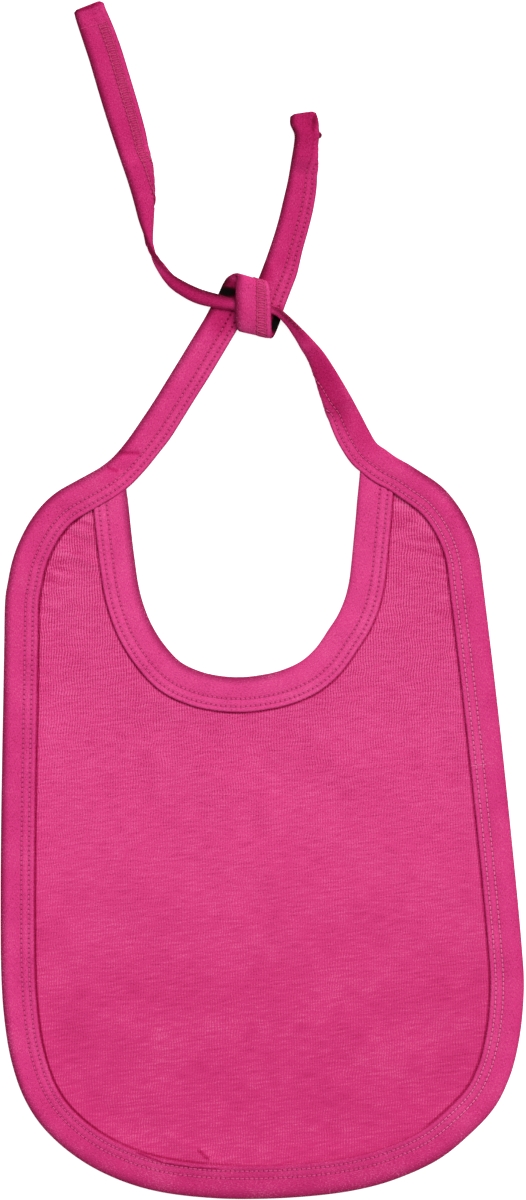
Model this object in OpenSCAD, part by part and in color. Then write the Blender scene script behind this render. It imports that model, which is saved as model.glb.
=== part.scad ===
// Soft baby bib: two layers of jersey bound with folded tape. The edge tape runs on past the
// shoulders as two straps, which are tied once behind the neck and end in two free ties.
// The bib lies face up on the XY plane, with the straps towards +Y.

/* [Bib] */
// Width over the edge tape
body_w = 225.2; // [180:0.1:280]
// Length from the shoulder line down to the bottom edge
body_l = 313.7; // [250:0.1:400]
// Width of the neck hollow between its folded edges
neck_w = 100.5; // [80:0.1:115]
// Depth of the neck hollow below the shoulder line
neck_depth = 89.2; // [70:0.1:120]
// Offset of the neck hollow's middle from the bib's middle
neck_x = -8.2; // [-12:0.1:0]

/* [Straps and ties] */
// Length from the shoulder line up to the middle of the knot
loop_l = 71; // [50:0.5:110]
// Height of the long tie's end above the middle of the knot
long_tie_l = 130.7; // [90:0.1:200]
// Height of the short tie's end above the middle of the knot
short_tie_l = 83; // [60:0.5:120]
// Depth of the folded hem at each tie's end
hem_l = 9; // [5:0.5:12]
// Offset of the knot from the bib's middle
knot_x = -4; // [-12:0.5:4]

/* [Cloth] */
// Thickness of one layer of panel jersey
jersey_t = 0.7; // [0.5:0.1:1.2]
// Thickness of one side of the folded tape
tape_t = 0.8; // [0.5:0.1:1.2]
// Width of the folded edge tape
tape_w = 14.6; // [12:0.1:18]
// Width of the folded neck tape
neck_tape_w = 15.2; // [12:0.1:18]
// Length of neck tape tucked under the edge tape
neck_tuck = 6; // [4:0.5:7]

/* [Stitching] */
// Distance of the outer needle row from the folded edge
outer_row = 9; // [7:0.1:9.5]
// Distance between the two needle rows
needle_gauge = 3.2; // [2.4:0.1:4]
// Width of a row of needle thread
thread_w = 0.7; // [0.4:0.1:1]
// Height of a row of needle thread over the tape
thread_h = 0.25; // [0.15:0.05:0.4]
// Width of the looper thread's band under the tape
looper_w = 5; // [3.5:0.1:6]

/* [Clearances] */
// Room left round a layer of cloth inside a fold
fold_clearance = 0.2; // [0.1:0.05:0.4]
// Gap between one moving body and the next
body_gap = 0.3; // [0.2:0.05:0.6]
// Gap between crossing layers in the knot
knot_gap = 0.4; // [0.3:0.05:0.8]
// Gap under a strand laid on a curved strap
strand_gap = 0.1; // [0.05:0.05:0.2]

/* [Hidden] */

jersey = "#d84080";
tape = "#cc3374";
thread = "#e0568f";

// Places along the bib's length; the whole bib is centred on the origin
total_l = body_l + loop_l + long_tie_l;
bottom_y = -total_l / 2;
shoulder_y = bottom_y + body_l;
knot_y = shoulder_y + loop_l;
knot = [knot_x, knot_y];

// Heights of the layers, from the surface up
panel_z = tape_t;
panels_t = 2 * jersey_t;
flange_z = panel_z + panels_t;
bib_t = flange_z + tape_t;
strap_t = 2 * tape_t;
low_z = strap_t / 2;
mid_z = low_z + strap_t + knot_gap;
top_z = mid_z + strap_t + knot_gap;
groove_t = thread_h + fold_clearance / 4;
// Room that the edge tape leaves round the tucked ends of the neck tape
tuck_room = 2;
looper_middle = outer_row + needle_gauge / 2;
steps = 5;
strap_steps = 3;
far = 1000;

// ---- curves ----

// Point at t from 0 to 1 on the smooth curve between b and c
function between(a, b, c, d, t) =
    0.5 * (2 * b + (c - a) * t + (2 * a - 5 * b + 4 * c - d) * t * t
           + (3 * b - a - 3 * c + d) * t * t * t);

// Smooth curve through a list of points, n steps to a span
function smooth(p, n = steps) =
    let (last = len(p) - 1)
    [for (i = [0 : last - 1], k = [0 : n - 1])
        between(p[max(i - 1, 0)], p[i], p[i + 1], p[min(i + 2, last)], k / n),
     p[last]];

function unit(v) = v / norm(v);

// Direction of a path at point i
function heading(p, i) = unit(p[min(i + 1, len(p) - 1)] - p[max(i - 1, 0)]);

// A flat path moved sideways, to its left where d is positive
function shifted(p, d) =
    [for (i = [0 : len(p) - 1]) let (h = heading(p, i)) p[i] + d * [-h.y, h.x]];

function reversed(p) = [for (i = [len(p) - 1 : -1 : 0]) p[i]];

// A path made longer by d, straight on at both ends
function lengthened(p, d) =
    let (last = len(p) - 1)
    concat([p[0] - d * heading(p, 0)], p, [p[last] + d * heading(p, last)]);

// ---- outlines ----

// Middle of the edge tape from the left shoulder round to the right one,
// as shares of the half width and of the length below the shoulder line
edge_route = smooth([for (p = [
    [-0.583, 0], [-0.655, -0.023], [-0.74, -0.043], [-0.826, -0.06], [-0.89, -0.083],
    [-0.935, -0.108], [-0.96, -0.133], [-0.974, -0.16], [-0.982, -0.187], [-0.985, -0.24],
    [-0.989, -0.32], [-0.994, -0.41], [-0.998, -0.5], [-1, -0.6], [-0.998, -0.7],
    [-0.986, -0.766], [-0.959, -0.823], [-0.909, -0.873], [-0.83, -0.913], [-0.706, -0.949],
    [-0.56, -0.975], [-0.4, -0.991], [-0.2, -0.999], [0, -1], [0.2, -0.996], [0.37, -0.988],
    [0.52, -0.974], [0.68, -0.949], [0.8, -0.916], [0.89, -0.883], [0.942, -0.848],
    [0.972, -0.813], [0.992, -0.77], [1, -0.72], [0.991, -0.67], [0.973, -0.6],
    [0.947, -0.51], [0.92, -0.42], [0.888, -0.32], [0.857, -0.23], [0.832, -0.16],
    [0.816, -0.127], [0.79, -0.1], [0.748, -0.072], [0.69, -0.0465], [0.62, -0.027],
    [0.56, -0.0095], [0.507, 0]])
    [p.x * (body_w - tape_w) / 2, shoulder_y + p.y * (body_l - tape_w / 2)]]);

// Folded edge of the neck tape from left to right,
// as shares of the half width and of the depth below the shoulder line
neck_route = smooth([for (p = [
    [-1, -0.09], [-0.985, -0.15], [-0.967, -0.245], [-0.947, -0.35], [-0.924, -0.45],
    [-0.898, -0.55], [-0.856, -0.645], [-0.785, -0.745], [-0.68, -0.84], [-0.54, -0.925],
    [-0.37, -0.972], [-0.2, -0.994], [-0.02, -1], [0.15, -0.99], [0.32, -0.968],
    [0.49, -0.925], [0.62, -0.86], [0.73, -0.77], [0.81, -0.7], [0.87, -0.62],
    [0.905, -0.54], [0.925, -0.45], [0.942, -0.35], [0.96, -0.245], [0.974, -0.15],
    [0.99, -0.06], [1, -0.02]])
    [neck_x + p.x * neck_w / 2, shoulder_y + p.y * neck_depth]]);

// Strip of cloth between two distances to the left of a path
module strip(path, from, to) {
    polygon(concat(shifted(path, from), reversed(shifted(path, to))));
}

module below(y) {
    translate([-far, y - 2 * far]) square(2 * far);
}

module edge_strip(grow = 0) {
    intersection() {
        strip(lengthened(edge_route, tape_w), -tape_w / 2 - grow, tape_w / 2 + grow);
        below(shoulder_y - body_gap / 2);
    }
}

module neck_strip(grow = 0) {
    intersection() {
        strip(lengthened(neck_route, neck_tuck + grow), grow, -neck_tape_w - grow);
        below(shoulder_y - tuck_room + grow / 2);
    }
}

// Cut outline of the panels, grown by a clearance where a fold has to hold it
module panel_outline(grow = 0) {
    inset = tape_t + fold_clearance - grow;
    trim = 2 * steps;
    outer = shifted(edge_route, inset - tape_w / 2);
    kept = [for (i = [trim : len(outer) - 1 - trim]) outer[i]];
    polygon(concat(kept, reversed(shifted(neck_route, -inset))));
}

// ---- bib ----

module panel(z) {
    color(jersey) translate([0, 0, z]) linear_extrude(jersey_t) panel_outline();
}

module back_panel() {
    panel(panel_z);
}

module front_panel() {
    panel(panel_z + jersey_t);
}

module panel_slot() {
    translate([0, 0, panel_z]) linear_extrude(panels_t) panel_outline(fold_clearance);
}

// A groove in the underside that the looper thread sinks into
module looper_groove(path, middle) {
    half = looper_w / 2 + fold_clearance / 2;
    translate([0, 0, -groove_t]) linear_extrude(2 * groove_t)
        strip(path, middle - half, middle + half);
}

module neck_binding() {
    color(tape) difference() {
        linear_extrude(bib_t) neck_strip();
        panel_slot();
        translate([0, 0, -1]) linear_extrude(1 + flange_z) edge_strip(fold_clearance);
        looper_groove(neck_route, -looper_middle);
    }
}

// The edge tape steps over the tucked ends of the neck tape
module edge_binding() {
    color(tape) difference() {
        union() {
            linear_extrude(bib_t) edge_strip();
            linear_extrude(bib_t + tape_t) intersection() {
                edge_strip();
                neck_strip(tuck_room);
            }
        }
        panel_slot();
        translate([0, 0, flange_z]) linear_extrude(tape_t) neck_strip(fold_clearance);
        looper_groove(edge_route, looper_middle - tape_w / 2);
    }
}

// Row of needle thread at a distance from the folded edge
module neck_row(distance) {
    color(thread) translate([0, 0, bib_t]) linear_extrude(thread_h) difference() {
        strip(neck_route, -distance + thread_w / 2, -distance - thread_w / 2);
        edge_strip(fold_clearance);
    }
}

module edge_row(distance) {
    middle = distance - tape_w / 2;
    color(thread) translate([0, 0, bib_t]) linear_extrude(thread_h) difference() {
        intersection() {
            strip(edge_route, middle - thread_w / 2, middle + thread_w / 2);
            below(shoulder_y - body_gap / 2);
        }
        neck_strip(tuck_room + fold_clearance);
    }
}

module neck_outer_row_thread() {
    neck_row(outer_row);
}

module neck_inner_row_thread() {
    neck_row(outer_row + needle_gauge);
}

module edge_outer_row_thread() {
    edge_row(outer_row);
}

module edge_inner_row_thread() {
    edge_row(outer_row + needle_gauge);
}

module neck_looper_thread() {
    color(thread) linear_extrude(thread_h) difference() {
        strip(neck_route, looper_w / 2 - looper_middle, -looper_w / 2 - looper_middle);
        edge_strip(2 * fold_clearance);
    }
}

module edge_looper_thread() {
    middle = looper_middle - tape_w / 2;
    color(thread) linear_extrude(thread_h) intersection() {
        strip(edge_route, middle - looper_w / 2, middle + looper_w / 2);
        below(shoulder_y - body_gap / 2);
    }
}

// Short line of stitches between the two rows, where the ends of the edge tape are joined
module tape_join_thread() {
    at = 37 * steps;
    p = edge_route[at];
    h = heading(edge_route, at);
    from = outer_row + thread_w / 2 + fold_clearance;
    to = outer_row + needle_gauge - thread_w / 2 - fold_clearance;
    color(thread) translate([p.x, p.y, bib_t]) rotate(atan2(h.y, h.x))
        translate([-thread_w / 2, from - tape_w / 2, 0]) cube([thread_w, to - from, thread_h]);
}

// ---- straps and ties ----

// A strap is a list of stations [x, y, z, share, turn]: the middle of the tape, its width as a
// share of the flat tape's, and the direction of its right-hand side in degrees from +X.

// Smoothed stations as [middle, half of the width as a vector, unit normal]
function stations(list) =
    let (s = smooth(list, strap_steps), last = len(s) - 1)
    [for (i = [0 : last])
        let (ahead = s[min(i + 1, last)], behind = s[max(i - 1, 0)],
             run = unit([for (k = [0 : 2]) ahead[k] - behind[k]]),
             side = [cos(s[i][4]), sin(s[i][4]), 0])
        [[s[i].x, s[i].y, max(s[i].z, low_z)], side * s[i][3], unit(cross(side, run))]];

// Bar swept along stations. It reaches across from one lateral distance to another, which shrink
// with the tape's share, and up from one height to another over the middle of the tape.
module swept(path, left, right, low, high) {
    count = len(path);
    points = [for (s = path, c = [[left, low], [right, low], [right, high], [left, high]])
        s[0] + s[1] * c.x + s[2] * c.y];
    sides = [for (i = [0 : count - 2], k = [0 : 3])
        let (a = 4 * i + k, b = 4 * i + (k + 1) % 4)
        each [[a, a + 4, b], [b, a + 4, b + 4]]];
    end = 4 * (count - 1);
    caps = [[0, 1, 2], [0, 2, 3], [end, end + 2, end + 1], [end, end + 3, end + 2]];
    polyhedron(points, concat(sides, caps), convexity = 4);
}

module strap(path) {
    color(tape) swept(path, -tape_w / 2, tape_w / 2, -strap_t / 2, strap_t / 2);
}

// Strand laid on a strap, on the side that faces up where face is 1 and where it is -1 below
module strand(path, middle, width, face = 1) {
    low = strap_t / 2 + strand_gap;
    heights = face > 0 ? [low, low + thread_h] : [-low - thread_h, -low];
    color(thread) swept(path, middle - width / 2, middle + width / 2, heights[0], heights[1]);
}

// Station at a distance before the end of a path
function before_end(path, d) =
    let (end = path[len(path) - 1][0],
         i = max([for (k = [0 : len(path) - 1]) if (norm(path[k][0] - end) >= d) k]),
         far_side = norm(path[i][0] - end), near_side = norm(path[i + 1][0] - end))
    path[i] + (path[i + 1] - path[i]) * (far_side - d) / (far_side - near_side);

// Stitches across a tie's end, at the edge of its folded hem
module hem_strand(path) {
    s = before_end(path, hem_l);
    half = tape_w / 2 - thread_w;
    run = cross(s[2], s[1]) * thread_w / 2 / norm(s[1]);
    low = strap_t / 2 + strand_gap;
    color(thread) swept([[s[0] - run, s[1], s[2]], [s[0] + run, s[1], s[2]]],
                        -half, half, low, low + thread_h);
}

function part_of(list, from, to) = [for (i = [from : to]) list[i]];

// Station between two anchors: a share of the way, and a bulge towards +X
function on_line(a, b, way, bulge) = a + (b - a) * way + [bulge, 0];

function at_knot(u, v) = knot + tape_w * [u, v];

left_shoulder = [edge_route[0].x, shoulder_y + body_gap / 2];
right_shoulder = [edge_route[len(edge_route) - 1].x, shoulder_y + body_gap / 2];
left_crossing = at_knot(-0.86, -0.41);
right_crossing = at_knot(1.24, -0.69);

// Shares of the way up at which each strap starts to turn, so that no corner dips below its start
left_turn_way = 0.356 * tape_w / (left_crossing.y - left_shoulder.y);
right_turn_way = 0.541 * tape_w / (right_crossing.y - right_shoulder.y);

left_strap_path = stations(concat(
    [for (s = [[0, 0, 1.5, 0], [left_turn_way, 2.8, 1.12, -27], [0.195, 3.5, 1, -38],
               [0.33, 3.2, 1, -34],
               [0.46, 3, 1, -34], [0.59, 2.5, 1, -32], [0.725, 1.7, 0.99, -31],
               [0.86, 1, 0.98, -31], [1, 0, 0.96, -30]])
        let (p = on_line(left_shoulder, left_crossing, s[0], s[1])) [p.x, p.y, low_z, s[2], s[3]]],
    [for (s = [[-0.51, 0.19, 0.75, -30], [-0.17, 0.59, 0.66, -15]])
        let (p = at_knot(s[0], s[1])) [p.x, p.y, low_z, s[2], s[3]]]));

right_strap_path = stations(concat(
    [for (s = [[0, 0, 1.91, 0], [right_turn_way, -4.9, 1, 30], [0.31, -4.5, 0.95, 27],
               [0.49, -1.9, 0.84, 24],
               [0.63, -0.5, 0.7, 24], [0.775, 1, 0.57, 25], [0.92, 0.9, 0.38, 35]])
        let (p = on_line(right_shoulder, right_crossing, s[0], s[1]),
             rise = s[0] < 0.8 ? 0 : 0.8)
        [p.x, p.y, low_z + rise, s[2], s[3]]],
    [for (s = [[1.24, -0.69, -0.3, 0.3, 45], [0.88, -0.36, 0, 0.28, 60], [0.53, -0.15, 0, 0.28, 75],
               [0, -0.05, 0, 0.33, 88], [-0.53, -0.01, 0, 0.36, 88], [-1.03, 0.12, 0, 0.42, 82],
               [-1.463, 0.219, -0.2, 0.5, 90]])
        let (p = at_knot(s[0], s[1])) [p.x, p.y, mid_z + s[2], s[3], s[4]]]));

// Over the top of the crossing strap, down its front and out behind it
fold_r = (top_z - low_z) / 2;
knot_wrap_path = stations(concat(
    [for (turn = [0 : 30 : 180])
        let (p = at_knot(-0.14 + turn * 0.0006, 0.66))
        [p.x, p.y + fold_r * sin(turn), mid_z - fold_r * cos(turn), 0.66 + turn / 600, turn / 15 - 14]],
    [for (s = [[-0.03, 0.3, 1, -2], [-0.01, -0.1, 1, 0]])
        let (p = at_knot(s[0], s[1])) [p.x, p.y, top_z, s[2], s[3]]],
    [for (turn = [0 : 30 : 180])
        let (p = at_knot(turn * 0.0005 - 0.01, -0.62))
        [p.x, p.y - fold_r * sin(turn), mid_z + fold_r * cos(turn), 0.97 - turn / 1000, -turn / 12]],
    [for (s = [[0.25, -0.28, 0.75, -27], [0.53, 0.28, 0.8, -24], [0.72, 0.75, 0.95, -16],
               [0.83, 1.08, 1.05, 0]])
        let (p = at_knot(s[0], s[1])) [p.x, p.y, low_z, s[2], s[3]]]));

// Ties as shares of their height, from their hinge lines up
long_tie_start = at_knot(-1.483, 0.219);
long_tie_rise = knot_y + long_tie_l - long_tie_start.y;
left_tie_path = stations([for (s = [
    [0, 0, 1.8, 0.5, 90], [-0.033, 0.016, 1.2, 0.48, 62], [-0.103, 0.057, 0.2, 0.34, 50],
    [-0.159, 0.125, 0, 0.24, 30], [-0.183, 0.192, 0, 0.27, 12], [-0.191, 0.26, 0, 0.47, 6],
    [-0.198, 0.327, 0, 0.65, 8], [-0.209, 0.394, 0, 0.78, 13], [-0.227, 0.462, 0, 0.9, 14],
    [-0.243, 0.529, 0, 1, 15], [-0.262, 0.597, 0, 1, 16], [-0.282, 0.664, 0, 1, 17],
    [-0.303, 0.732, 0, 1, 17], [-0.322, 0.799, 0, 1, 18], [-0.344, 0.867, 0, 1, 19],
    [-0.37, 0.934, 0, 0.98, 21], [-0.387, 0.979, 0, 0.89, 24]])
    [long_tie_start.x + s[0] * long_tie_rise, long_tie_start.y + s[1] * long_tie_rise,
     low_z + s[2], s[3], s[4]]]);

short_tie_start = at_knot(0.83, 1.08) + [0, body_gap];
short_tie_rise = knot_y + short_tie_l - short_tie_start.y;
right_tie_path = stations([for (s = [
    [0, 0, 1.05, 0], [0.015, 0.047, 1.03, -12], [0.049, 0.177, 0.98, -16], [0.085, 0.307, 0.95, -13],
    [0.113, 0.437, 0.92, -11], [0.139, 0.567, 0.88, -7], [0.15, 0.697, 0.8, -3],
    [0.155, 0.827, 0.68, 0], [0.142, 0.95, 0.82, 5], [0.136, 0.985, 0.78, 8]])
    [short_tie_start.x + s[0] * short_tie_rise, short_tie_start.y + s[1] * short_tie_rise,
     low_z, s[2], s[3]]]);

outer_lateral = outer_row - tape_w / 2;
inner_lateral = outer_lateral + needle_gauge;
looper_lateral = looper_middle - tape_w / 2;

module left_strap() {
    strap(left_strap_path);
}

module right_strap() {
    strap(right_strap_path);
}

module knot_wrap() {
    strap(knot_wrap_path);
}

module left_strap_row_threads() {
    flat = part_of(left_strap_path, 1, 22);
    strand(flat, outer_lateral, thread_w);
    strand(flat, inner_lateral, thread_w);
}

module right_strap_row_threads() {
    flat = part_of(right_strap_path, 1, 14);
    strand(flat, -outer_lateral, thread_w);
    strand(flat, -inner_lateral, thread_w);
}

module knot_looper_thread() {
    strand(part_of(knot_wrap_path, 17, 28), looper_lateral, looper_w, -1);
}

module left_tie() {
    strap(left_tie_path);
}

module left_tie_looper_thread() {
    strand(part_of(left_tie_path, 24, 43), looper_lateral, looper_w);
}

module left_tie_hem_thread() {
    hem_strand(left_tie_path);
}

module right_tie() {
    strap(right_tie_path);
}

module right_tie_row_threads() {
    flat = part_of(right_tie_path, 1, 18);
    strand(flat, outer_lateral, thread_w);
    strand(flat, inner_lateral, thread_w);
}

module right_tie_hem_thread() {
    hem_strand(right_tie_path);
}

front_panel();
back_panel();
neck_binding();
edge_binding();
neck_outer_row_thread();
neck_inner_row_thread();
neck_looper_thread();
edge_outer_row_thread();
edge_inner_row_thread();
edge_looper_thread();
tape_join_thread();
left_strap();
right_strap();
knot_wrap();
left_strap_row_threads();
right_strap_row_threads();
knot_looper_thread();
left_tie();
left_tie_looper_thread();
left_tie_hem_thread();
right_tie();
right_tie_row_threads();
right_tie_hem_thread();
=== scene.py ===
"""Soft jersey baby bib laid flat on a pale surface, seen from straight above.

Two layers of jersey are bound with folded tape round the neck and round the outer edge. The edge
tape runs on as two straps, which are tied once behind the neck and end in two free ties.
Sizes and places are in millimetres in the row frame, and become metres where a mesh is made.
"""

import logging
import math
from collections.abc import Sequence
from dataclasses import dataclass
from enum import Enum

import bmesh
import bpy
import numpy as np
from mathutils import Matrix, Vector

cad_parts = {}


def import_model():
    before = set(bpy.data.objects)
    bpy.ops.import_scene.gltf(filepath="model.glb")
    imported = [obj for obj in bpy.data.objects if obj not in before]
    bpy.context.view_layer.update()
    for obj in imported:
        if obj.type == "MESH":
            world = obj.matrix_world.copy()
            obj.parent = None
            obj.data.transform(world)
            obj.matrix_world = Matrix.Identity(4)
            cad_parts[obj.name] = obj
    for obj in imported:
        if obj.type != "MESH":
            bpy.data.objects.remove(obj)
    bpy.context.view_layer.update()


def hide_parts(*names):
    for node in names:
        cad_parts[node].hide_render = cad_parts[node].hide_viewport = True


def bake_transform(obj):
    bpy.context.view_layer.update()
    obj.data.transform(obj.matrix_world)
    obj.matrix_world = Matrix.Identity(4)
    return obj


LOG = logging.getLogger("bib")
Socket = bpy.types.NodeSocket
Value = Socket | float
Colour = Socket | str
MM = 0.001

# ---------------------------------------------------------------- sizes of the bib

BODY_W = 225.2
BODY_L = 313.7
SHOULDER_Y = 56.0
NECK_W = 100.5
NECK_DEPTH = 89.2
NECK_X = -8.2
TAPE_W = 14.6
NECK_TAPE_W = 15.2
CLOTH_T = 0.8
OUTER_ROW = 9.0
INNER_ROW = 12.2
STITCH = 2.1
HEM = 9.0
WALE = 0.0011
JOIN = (90.0, -71.0)
FLOOR_GAP = 0.05
BOUND_HALF = 1.5
PER_STITCH = 6
BACK_DROP = 0.62

# Where the neck tape's ends pass under the edge tape, which rises over them
NECK_ENDS_X = (-66.0, 50.0)
NECK_END_REACH = 14.0
NECK_END_RISE = 0.4

# Share of the tape's width from its cloth side at which the panels' cut edge lies
PANEL_INSET = 0.18

# Middle of the edge tape, as shares of the half width and of the length below the shoulders
EDGE_ROUTE = (
    (-0.745, -0.0385), (-0.826, -0.058), (-0.886, -0.0825), (-0.929, -0.11), (-0.955, -0.1345),
    (-0.971, -0.161), (-0.982, -0.187), (-0.985, -0.24), (-0.989, -0.32), (-0.994, -0.41),
    (-0.998, -0.5), (-1, -0.6), (-0.998, -0.7), (-0.986, -0.766), (-0.959, -0.823),
    (-0.909, -0.873), (-0.83, -0.913), (-0.706, -0.949), (-0.56, -0.975), (-0.4, -0.991),
    (-0.2, -0.999), (0, -1), (0.2, -0.996), (0.37, -0.988), (0.52, -0.974), (0.68, -0.949),
    (0.8, -0.916), (0.89, -0.883), (0.942, -0.848), (0.972, -0.813), (0.992, -0.77),
    (1, -0.72), (0.991, -0.67), (0.973, -0.6), (0.947, -0.51), (0.92, -0.42),
    (0.888, -0.32), (0.857, -0.23), (0.832, -0.16), (0.819, -0.126), (0.795, -0.098),
    (0.753, -0.0695), (0.695, -0.044), (0.624, -0.0255),
)

# Folded edge of the neck tape, as shares of the half width and of the depth
NECK_ROUTE = (
    (-1, -0.02), (-1, -0.09), (-0.985, -0.15), (-0.967, -0.245), (-0.947, -0.35),
    (-0.924, -0.45), (-0.898, -0.55), (-0.856, -0.645), (-0.785, -0.745), (-0.68, -0.84),
    (-0.54, -0.925), (-0.37, -0.972), (-0.2, -0.994), (-0.02, -1), (0.15, -0.99),
    (0.32, -0.968), (0.49, -0.925), (0.62, -0.86), (0.73, -0.77), (0.81, -0.7),
    (0.87, -0.62), (0.905, -0.54), (0.925, -0.45), (0.942, -0.35), (0.96, -0.245),
    (0.974, -0.15), (0.99, -0.06), (1, 0.0),
)

# Stations of a strap: folded edge x, y, z, free edge x, y, z, half of the tape's thickness
LEFT_STRAP = (
    (-20.7, 128.9, 1.0, -7.8, 121.6, 1.0, 0.9),
    (-24.6, 121.6, 1.0, -11.9, 114.3, 1.0, 0.9),
    (-30.6, 111.7, 1.0, -18.3, 103.5, 1.0, 0.9),
    (-35.8, 103.1, 1.0, -23.5, 94.9, 1.0, 0.9),
    (-41.1, 94.5, 1.0, -28.8, 86.6, 1.0, 0.9),
    (-46.4, 85.9, 1.0, -33.9, 78.4, 1.0, 0.9),
    (-52.1, 77.3, 1.0, -39.4, 69.7, 1.0, 0.9),
    (-58.1, 68.7, 1.0, -44.8, 62.7, 1.0, 0.95),
    (-63.9, 61.8, 1.2, -50.4, 55.8, 1.2, 1.1),
    (-69.3, 57.3, 1.7, -57.3, 48.7, 1.7, 1.65),
    (-74.0, 54.5, 1.9, -64.6, 43.3, 1.9, 1.9),
)
RIGHT_STRAP = (
    (63.1, 58.3, 1.9, 54.8, 47.0, 1.9, 1.9),
    (57.5, 61.4, 1.9, 49.0, 50.0, 1.9, 1.9),
    (53.4, 64.4, 1.8, 44.4, 53.2, 1.8, 1.7),
    (49.2, 67.5, 1.3, 38.1, 58.8, 1.2, 1.2),
    (46.1, 72.6, 1.2, 33.0, 66.7, 1.0, 0.95),
    (41.6, 81.2, 1.6, 29.2, 75.0, 1.0, 0.95),
    (36.5, 90.2, 2.4, 25.5, 85.3, 1.0, 0.95),
    (31.3, 98.8, 3.5, 22.5, 94.5, 1.2, 0.95),
    (26.1, 106.6, 4.5, 19.7, 102.7, 1.7, 0.95),
    (20.7, 112.4, 5.0, 16.1, 108.7, 2.2, 1.0),
    (14.3, 118.2, 4.9, 11.4, 116.3, 2.6, 1.0),
    (8.4, 123.6, 4.4, 7.2, 121.2, 2.9, 1.0),
    (4.2, 126.2, 3.9, 3.6, 122.9, 3.0, 1.1),
    (-0.1, 126.9, 3.5, -0.5, 123.6, 3.1, 1.1),
    (-5.2, 127.6, 3.3, -5.6, 124.2, 3.3, 1.1),
)
KNOT = (
    (-20.7, 128.9, 1.0, -7.8, 121.6, 1.0, 0.9),
    (-19.0, 131.5, 1.1, -6.1, 124.6, 1.0, 0.9),
    (-17.2, 135.4, 2.1, -3.6, 129.7, 1.6, 0.9),
    (-15.2, 138.4, 3.6, -1.0, 134.0, 2.6, 0.9),
    (-12.4, 139.7, 5.2, 1.5, 136.0, 4.0, 0.9),
    (-10.7, 138.3, 6.5, 2.8, 134.6, 5.6, 0.9),
    (-11.3, 135.4, 7.0, 3.4, 132.2, 6.3, 0.9),
    (-11.5, 128.9, 6.8, 3.8, 126.8, 6.5, 0.9),
    (-11.5, 122.5, 6.0, 3.8, 119.9, 6.2, 0.9),
    (-11.3, 118.4, 4.4, 4.0, 115.0, 5.2, 0.9),
    (-10.7, 116.4, 2.6, 4.3, 113.0, 3.4, 0.9),
    (-9.1, 118.8, 1.2, 5.6, 114.5, 1.6, 0.9),
    (-6.8, 124.6, 0.95, 7.7, 119.9, 1.0, 0.9),
    (-4.6, 130.6, 0.95, 9.6, 125.9, 0.95, 0.9),
    (-1.8, 137.9, 0.95, 12.4, 133.2, 0.95, 0.9),
    (1.2, 145.7, 0.95, 15.1, 140.5, 0.95, 0.9),
    (4.2, 154.3, 0.95, 17.3, 150.0, 0.95, 0.9),
    (6.8, 162.9, 0.95, 19.8, 159.0, 0.95, 0.9),
    (8.9, 171.5, 1.0, 22.1, 168.5, 0.95, 0.9),
    (10.9, 180.1, 1.2, 23.5, 177.9, 1.0, 0.95),
    (12.4, 188.7, 1.5, 24.0, 187.4, 1.1, 1.0),
    (13.6, 196.0, 1.9, 23.7, 195.4, 1.3, 1.2),
    (13.7, 200.0, 2.2, 23.9, 199.8, 1.6, 1.5),
    (11.9, 204.4, 2.1, 23.7, 204.8, 1.7, 1.6),
    (12.0, 208.2, 2.0, 22.9, 209.9, 1.7, 1.5),
)
LONG_TIE = (
    (-0.1, 127.4, 3.3, -0.1, 124.2, 3.3, 1.1),
    (-6.1, 128.3, 3.3, -6.5, 124.2, 3.3, 1.1),
    (-11.7, 129.2, 3.5, -12.3, 124.4, 3.2, 1.1),
    (-19.0, 131.3, 3.8, -21.6, 125.6, 3.0, 1.0),
    (-26.7, 133.6, 3.4, -29.1, 127.7, 2.6, 1.0),
    (-34.3, 137.2, 3.0, -37.2, 132.4, 2.2, 1.0),
    (-39.5, 140.6, 3.4, -42.2, 137.2, 1.8, 1.0),
    (-43.8, 145.0, 4.4, -45.7, 143.4, 1.6, 1.0),
    (-47.5, 149.4, 5.2, -46.7, 149.3, 1.6, 1.0),
    (-49.8, 154.0, 4.0, -46.9, 155.2, 2.4, 1.0),
    (-53.0, 162.5, 3.0, -46.6, 164.4, 2.8, 1.0),
    (-55.4, 171.5, 2.8, -46.0, 173.6, 2.8, 0.95),
    (-57.9, 179.9, 2.4, -46.6, 183.1, 2.3, 0.95),
    (-60.7, 188.1, 1.8, -48.1, 191.9, 1.6, 0.95),
    (-63.6, 196.7, 1.2, -49.9, 200.5, 1.1, 0.95),
    (-66.5, 205.5, 1.0, -52.2, 209.3, 1.0, 0.9),
    (-69.3, 214.5, 1.0, -54.9, 218.6, 1.0, 0.9),
    (-71.9, 223.3, 1.0, -57.6, 227.6, 1.0, 0.9),
    (-74.5, 232.1, 1.0, -60.3, 236.4, 1.0, 0.9),
    (-77.2, 240.3, 1.0, -63.2, 244.6, 1.0, 0.9),
    (-79.6, 247.6, 1.3, -66.2, 251.7, 1.3, 1.25),
    (-81.2, 252.9, 1.3, -69.1, 257.7, 1.3, 1.25),
)


# ---------------------------------------------------------------- curves and fields


def smooth(points: Sequence[Sequence[float]], per_span: int = 12) -> np.ndarray:
    """Smooth curve through points that have any number of columns.

    Args:
        points: the points the curve passes through.
        per_span: steps between one point and the next.

    Returns:
        One row for each step along the curve.
    """
    p = np.asarray(points, float)
    ends = np.vstack([p[0], p, p[-1]])
    t = np.linspace(0, 1, per_span, endpoint=False)[:, None]
    spans = [
        0.5 * (2 * b + (c - a) * t + (2 * a - 5 * b + 4 * c - d) * t**2
               + (3 * b - a - 3 * c + d) * t**3)
        for a, b, c, d in zip(ends, ends[1:], ends[2:], ends[3:])
    ]
    return np.vstack([*spans, p[-1:]])


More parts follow.
